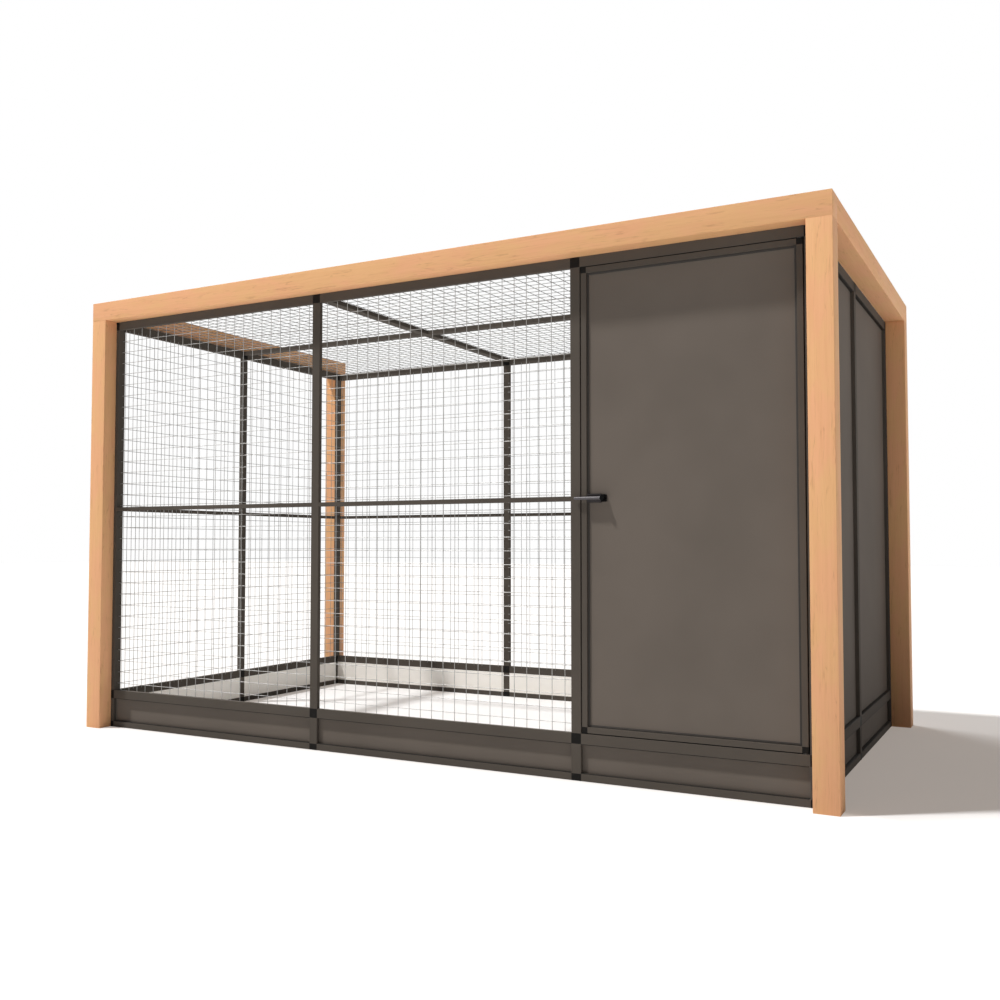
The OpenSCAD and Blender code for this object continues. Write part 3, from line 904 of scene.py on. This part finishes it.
@dataclass(frozen=True)
class DoorSeals:
    """The brush seals in the gaps over and under the door, on the rails there. Their black pile is partly
    painted shade, darkening the gaps where shade falls.

    Each has two lengths, on either side of the hinge pin's collar, and an end block behind the rail at the
    hinge corner.
    """

    gap: float = 4 * MM
    side_gap: float = 5 * MM
    clear: float = 0.4 * MM
    holder: float = 1.2 * MM
    depth: float = 3 * MM
    setback: float = 4 * MM
    pile_inset: float = 0.6 * MM
    pile_rounding: float = 0.3 * MM
    pin_clear: float = 8.6 * MM
    end_length: float = 42 * MM
    end_depth: float = 5.6 * MM
    end_height: float = 18 * MM
    end_inset: float = 0.5 * MM
    end_rounding: float = 0.8 * MM
    # Black pile that also darkens the gaps where shade falls: partly painted shade.
    finish: BrushPile = BrushPile("brush_pile")

    def build(self) -> None:
        """Builds both seals."""
        material = self.finish.material()
        leaf_low, leaf_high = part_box("door_corners")
        self._seal(DoorEdge.UNDER, leaf_low.z - self.gap, material)
        self._seal(DoorEdge.OVER, leaf_high.z + self.gap, material)

    def _seal(self, edge: DoorEdge, level: float, material: bpy.types.Material) -> None:
        """Builds one seal.

        Args:
            edge: Where it lies.
            level: The height of the rail's face that it is fixed to.
            material: Its finish.
        """
        door_low, door_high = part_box("door_stiles")
        pin_low, pin_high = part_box("hinge_pins")
        pin = (pin_low.x + pin_high.x) / 2
        right = door_high.x + self.side_gap
        spans = {
            "long": (door_low.x - self.side_gap, pin - self.pin_clear),
            "short": (pin + self.pin_clear, right),
        }
        name = f"seal_{edge.name.lower()}"
        way = edge.value
        pieces = [self._length(f"{name}_{side}", span, level, way) for side, span in spans.items()]
        pieces.append(self._end(f"{name}_end", right, level, way))
        for piece in pieces:
            wear(piece, material)
            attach(piece, "run")
            log.info("%s: %d faces", piece.name, len(piece.data.polygons))

    def _length(self, name: str, span: Pair, level: float, way: float) -> bpy.types.Object:
        """Models one length: a holder with a narrower pile on it.

        Args:
            name: The piece's name.
            span: Where it begins and ends along the front.
            level: The height of the rail's face that it is fixed to.
            way: The way that the seal points, 1 or -1.

        Returns:
            The piece.
        """
        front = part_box("door_stiles")[0].y + self.setback
        levels = sorted((level, level + way * self.holder))
        low = Vector((span[0], front, levels[0]))
        high = Vector((span[1], front + self.depth, levels[1]))
        piece = block(name, low, high)
        pick(piece, Element.FACE, lambda face: face.normal.z * way > FACING)
        bpy.ops.mesh.inset(thickness=self.pile_inset)
        rise = self.gap - self.clear - self.holder
        bpy.ops.mesh.extrude_region_move(TRANSFORM_OT_translate={"value": (0.0, 0.0, way * rise)})
        bpy.ops.mesh.bevel(offset=self.pile_rounding, segments=2, affect="EDGES")
        smooth(piece)
        return piece

    def _end(self, name: str, right: float, level: float, way: float) -> bpy.types.Object:
        """Models the end block.

        Args:
            name: The piece's name.
            right: Where the seal ends along the front.
            level: The height of the rail's face that the seal is fixed to.
            way: The way that the seal points, 1 or -1.

        Returns:
            The piece.
        """
        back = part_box("front_kick_rails")[1].y
        tip = level + way * (self.gap - self.clear)
        levels = sorted((tip, tip - way * self.end_height))
        low = Vector((right - self.end_length, back, levels[0]))
        high = Vector((right - self.end_inset, back + self.end_depth, levels[1]))
        piece = block(name, low, high, self.end_rounding)
        smooth(piece)
        return piece


@dataclass(frozen=True)
class LockCase:
    """The flat case of the latch, in the recess of the door's panel between the stile and the rose."""

    height: float = 34 * MM
    fit: float = 0.4 * MM
    front_fit: float = 0.5 * MM
    rounding: float = 1.6 * MM
    lip: float = 3 * MM
    lip_depth: float = 0.8 * MM
    finish: MouldedNylon = MouldedNylon("case_nylon", (0.034, 0.030, 0.030), (0.052, 0.047, 0.046))

    def build(self, stiles: bpy.types.Object) -> None:
        """Models the case: a rounded block with a sunk field in its face.

        Args:
            stiles: The CAD object of the door's stiles.
        """
        inner = min(high[0] for _, high in loose_boxes(stiles))
        rose_low, rose_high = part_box("handle_rose")
        level = (rose_low.z + rose_high.z) / 2
        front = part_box("door_stiles")[0].y + self.front_fit
        low = Vector((inner + self.fit, front, level - self.height / 2))
        high = Vector((rose_low.x - self.fit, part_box("door_panel")[0].y, level + self.height / 2))
        piece = block("lock_case", low, high, self.rounding)
        pick(piece, Element.FACE, lambda face: face.normal.y < -FACING)
        bpy.ops.mesh.inset(thickness=self.lip)
        bpy.ops.mesh.extrude_region_move(TRANSFORM_OT_translate={"value": (0.0, self.lip_depth, 0.0)})
        smooth(piece)
        wear(piece, self.finish.material())
        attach(piece, "door")
        log.info("lock case: %d faces", len(piece.data.polygons))


@dataclass(frozen=True)
class GasketShadeLine:
    """Dark rubber lines along the edges of one group of panels, in the recess before them, partly painted
    shade.

    The lines reach outward from the panels' faces. The panels' tongues lie hidden in their grooves.
    """

    panels: str
    body: str
    outward: tuple[int, int]
    reach: float = 14.5 * MM
    tongue: float = 6 * MM
    width: float = 2.4 * MM
    softening: float = 0.4 * MM
    all_round: bool = False

    def build(self, source: bpy.types.Object, material: bpy.types.Material) -> None:
        """Models the lines of all the group's panels as one piece.

        Args:
            source: The CAD object of the panels.
            material: The dark rubber, partly painted shade.
        """
        rooms = [self._recess(low, high) for low, high in loose_boxes(source)]
        strips = [self._strip(*box) for room in rooms for box in self._boxes(*room)]
        select_only(*strips)
        bpy.ops.object.join()
        piece = strips[0]
        piece.name = piece.data.name = f"gasket_{self.panels}"
        smooth(piece)
        wear(piece, material)
        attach(piece, self.body)
        log.info("%s: %d faces", piece.name, len(piece.data.polygons))

    def _recess(self, low: np.ndarray, high: np.ndarray) -> tuple[Vector, Vector]:
        """Finds the room that the lines can take before a panel.

        Args:
            low: The panel's lowest corner.
            high: Its highest corner.

        Returns:
            The room's lowest and highest corner.
        """
        near, far = Vector(low), Vector(high)
        for axis, way in enumerate((*self.outward, 0)):
            if way == 0:
                near[axis] += self.tongue
                far[axis] -= self.tongue
            elif way < 0:
                near[axis], far[axis] = low[axis] - self.reach, low[axis]
            else:
                near[axis], far[axis] = high[axis], high[axis] + self.reach
        return near, far

    def _boxes(self, near: Vector, far: Vector) -> list[tuple[Vector, Vector]]:
        """Places the level lines in a room, and any upright ones between them.

        Args:
            near: The room's lowest corner.
            far: Its highest corner.

        Returns:
            The lowest and highest corner of each line.
        """
        near, far = near.copy(), far.copy()
        boxes = []
        along = 0 if self.outward[0] == 0 else 1
        for axis in (2, along) if self.all_round else (2,):
            first, last = far.copy(), near.copy()
            first[axis] = near[axis] + self.width
            last[axis] = far[axis] - self.width
            boxes += [(near.copy(), first), (last, far.copy())]
            near[axis] += self.width
            far[axis] -= self.width
        return boxes

    def _strip(self, low: Vector, high: Vector) -> bpy.types.Object:
        """Models one line with softened edges.

        Args:
            low: Its lowest corner.
            high: Its highest corner.

        Returns:
            The line, left in edit mode as any block is.
        """
        strip = block("gasket_strip", low, high)
        bpy.ops.mesh.bevel(offset=self.softening, segments=2, affect="EDGES")
        return strip


@dataclass(frozen=True)
class Glazing:
    """The gaskets of every group of recessed panels, partly painted shade in the recess corners."""

    # Dark rubber whose lines also stand in for the shade in the recess corners: partly painted shade.
    rubber: MouldedNylon = MouldedNylon("gasket_rubber", (0.026, 0.023, 0.020), (0.040, 0.036, 0.032))
    door_rubber: MouldedNylon = MouldedNylon(
        "door_gasket_rubber", (0.056, 0.050, 0.045), (0.070, 0.063, 0.056)
    )
    gaskets: tuple[GasketShadeLine, ...] = (
        GasketShadeLine("front_kick_panels", "run", (0, -1)),
        GasketShadeLine("left_kick_panels", "run", (-1, 0)),
        GasketShadeLine("rear_kick_panels", "run", (0, 1)),
        GasketShadeLine("right_kick_panels", "run", (1, 0)),
        GasketShadeLine("right_wall_panels", "run", (1, 0)),
        GasketShadeLine("rear_wall_panel", "run", (0, 1)),
        GasketShadeLine("door_panel", "door", (0, -1), reach=3 * MM, tongue=5 * MM, width=8 * MM, all_round=True),
    )

    def build(self, nodes: dict[str, bpy.types.Object]) -> None:
        """Builds them.

        Args:
            nodes: The CAD objects by their names.
        """
        finishes = {"run": self.rubber.material(), "door": self.door_rubber.material()}
        for gasket in self.gaskets:
            gasket.build(nodes[gasket.panels], finishes[gasket.body])


@dataclass(frozen=True)
class Cage:
    """The cage: hollow profiles, plug connectors, sheets, liners and welded mesh."""

    frame: dict[str, object]
    weld: Weld = Weld()
    profile: PowderCoat = PowderCoat("profile_coat", (0.081, 0.068, 0.056), 0.78)
    sheet: PowderCoat = PowderCoat("sheet_coat", (0.130, 0.108, 0.090), 0.76)
    nylon: MouldedNylon = MouldedNylon("black_nylon")
    hub: MouldedNylon = MouldedNylon("hub_nylon", (0.003, 0.003, 0.003), (0.010, 0.009, 0.009))
    wire: Zinc = Zinc("galvanised_wire", (0.28, 0.275, 0.265), (0.18, 0.177, 0.17), 0.5, 180.0)
    # The front mesh's wires: a lighter copy of the galvanised wire, painted light for the sun that falls on
    # them.
    front_wire: Zinc = Zinc("bright_wire", (0.46, 0.45, 0.43), (0.32, 0.31, 0.30), 0.45, 180.0)
    # The roof's wires: a darker copy of the galvanised wire, painted shade for their undersides seen from
    # below.
    roof_wire: Zinc = Zinc("weathered_wire", (0.155, 0.15, 0.142), (0.10, 0.097, 0.092), 0.5, 180.0)
    liner: LinerBoard = LinerBoard("liner_board")
    lever: SatinLever = SatinLever("satin_lever")
    steel: Zinc = Zinc("blackened_steel", (0.040, 0.038, 0.036), (0.020, 0.019, 0.018), 0.2, 300.0)

    def dress(self) -> None:
        """Dresses every CAD node by the slot that the record gives it, and welds the mesh."""
        by_slot = self._slot_finishes()
        by_node = self._node_finishes()
        for part in self.frame["record"]["subparts"]:
            node, slot = part["node"], part["material_slot"]
            if slot == "wood":
                continue
            source = self.frame["nodes"][node]
            finish = by_node.get(node, by_slot[slot])
            wear(source, finish)
            log.info("dressed %s in %s", node, finish.name)
            if slot == "wire":
                self.weld.build(node, source, finish)

    def _slot_finishes(self) -> dict[str, bpy.types.Material]:
        """Makes the finish of each of the record's material slots, apart from the timber's.

        Returns:
            The materials by slot.
        """
        return {
            "profile": self.profile.material(),
            "sheet": self.sheet.material(),
            "plug": self.nylon.material(),
            "wire": self.wire.material(),
            "liner": self.liner.material(),
            "lever": self.lever.material(),
            "steel": self.steel.material(),
        }

    def _node_finishes(self) -> dict[str, bpy.types.Material]:
        """Makes the finishes of the nodes that look unlike the others in their slot, some with painted light
        or shade.

        Returns:
            The materials by node.
        """
        groups = (
            (self.front_wire, ("front_mesh_left", "front_mesh_middle")),
            (self.roof_wire, ("roof_mesh_left", "roof_mesh_middle", "roof_mesh_right")),
            (self.hub, ("lever_head", "handle_rose")),
        )
        finishes = {}
        for finish, nodes in groups:
            finishes |= dict.fromkeys(nodes, finish.material())
        return finishes


@dataclass(frozen=True)
class PhotoCamera:
    """The camera at the photograph's place, found from the run's edges. Its angles are in degrees."""

    place: tuple[float, float, float] = (2.4353, -4.5671, 0.8956)
    turn: float = 28.161
    tilt: float = 2.413
    lens: float = 37.36
    sensor: float = 36.0
    rise: float = 0.00106
    reach: float = 200.0

    def build(self) -> None:
        """Makes the camera and looks through it."""
        data = bpy.data.cameras.new("photo_camera")
        data.sensor_width = self.sensor
        data.lens = self.lens
        data.shift_y = self.rise
        data.clip_end = self.reach
        camera = bpy.data.objects.new("photo_camera", data)
        camera.location = self.place
        camera.rotation_euler = (math.radians(90 + self.tilt), 0.0, math.radians(self.turn))
        bpy.context.scene.collection.objects.link(camera)
        bpy.context.scene.camera = camera


@dataclass(frozen=True)
class Lamp:
    """A distant lamp: the way its light travels, its strength and its angular width in degrees."""

    name: str
    travel: tuple[float, float, float]
    strength: float
    width: float

    def build(self) -> None:
        """Makes the lamp."""
        data = bpy.data.lights.new(self.name, "SUN")
        data.energy = self.strength
        data.angle = math.radians(self.width)
        lamp = bpy.data.objects.new(self.name, data)
        lamp.rotation_euler = Vector(self.travel).to_track_quat("-Z", "Y").to_euler()
        bpy.context.scene.collection.objects.link(lamp)


@dataclass(frozen=True)
class Daylight:
    """A sun from the front left, two weak soft lamps, a dim sky and a pale floor.

    Most of the light in the shade comes up from the floor. Where the floor is seen it is duller, with an
    even glow, so that it is white in the sun and holds its shadows. The glow is stronger on the open floor,
    which begins at a line before the front and at a slanting line beside the run.
    """

    sun: Lamp = Lamp("sun", (0.42, 0.29, -1.0), 3.6, 3.5)
    soft: Lamp = Lamp("soft_lamp", (0.87, -0.50, -0.84), 1.9, 34.0)
    side: Lamp = Lamp("side_lamp", (-0.90, 0.25, -0.35), 0.18, 60.0)
    sky: float = 0.15
    bounced_floor: float = 0.86
    seen_floor: float = 0.57
    seen_glow: Colour = (0.272, 0.238, 0.212)
    front_glow: Colour = (0.432, 0.398, 0.372)
    front_line: float = 0.91
    front_fade_rate: float = 16.0
    side_normal: Pair = (0.568, -0.823)
    side_line: float = 1.830
    side_fade_rate: float = 8.0
    floor_reach: float = 80.0
    floor_grain: float = 0.1 * MM
    floor_grain_rate: float = 60.0

    def build(self) -> None:
        """Makes the lamps, the sky and the floor."""
        for lamp in (self.sun, self.soft, self.side):
            lamp.build()
        self._sky()
        self._floor()

    def _sky(self) -> None:
        """An even sky that is white where it is seen straight or in a reflection."""
        world = bpy.data.worlds.new("sky")
        bpy.context.scene.world = world
        mix = Recipe(world)
        strength = self.sky + mix.seen() * (1.0 - self.sky)
        inputs = {"Color": (1.0, 1.0, 1.0, 1.0), "Strength": strength}
        background = mix.node("ShaderNodeBackground", inputs=inputs)
        mix.add("ShaderNodeOutputWorld", inputs={"Surface": background})

    def _floor(self) -> None:
        """A plain floor that is white where it is seen and keeps the shadow."""
        select_only()
        bpy.ops.mesh.primitive_plane_add(size=self.floor_reach)
        floor = bpy.context.object
        floor.name = "floor"
        mix = Recipe(bpy.data.materials.new("pale_floor"))
        seen = mix.seen()
        grain = mix.noise(mix.vector(*mix.place()), self.floor_grain_rate, 2.0)
        colour = mix.mix(seen, (self.bounced_floor,) * 3, (self.seen_floor,) * 3)
        glow = mix.mix(self._open_floor(mix), self.seen_glow, self.front_glow)
        glow = mix.mix(seen, (0.0, 0.0, 0.0), glow)
        wear(floor, mix.finish(colour, 0.9, mix.bump(grain, self.floor_grain, 0.1), specular=0.0, glow=glow))

    def _open_floor(self, mix: Recipe) -> Link:
        """Tells the open floor before the run and beside it from the floor under it and in its shadow.

        Args:
            mix: The floor's recipe.

        Returns:
            1 on the open floor and 0 on the rest.
        """
        x, y, _ = mix.place()
        beside = x * self.side_normal[0] + y * self.side_normal[1] - self.side_line
        before = -1.0 * y - self.front_line
        amount = (beside * self.side_fade_rate).larger(before * self.front_fade_rate)
        return mix.ramp(amount, ((0.0, 0.0), (1.0, 1.0)))


def main() -> None:
    """Loads the frame, dresses the run, and sets the light and the camera."""
    logging.basicConfig(level=logging.INFO, format="%(name)s: %(message)s")
    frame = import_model()
    PhotoCamera().build()
    Portal().build()
    Cage(frame).dress()
    DoorSeals().build()
    Glazing().build(frame["nodes"])
    LockCase().build(frame["nodes"]["door_stiles"])
    Daylight().build()
    bpy.context.scene.view_settings.view_transform = "Standard"


if __name__ == "__main__":
    main()
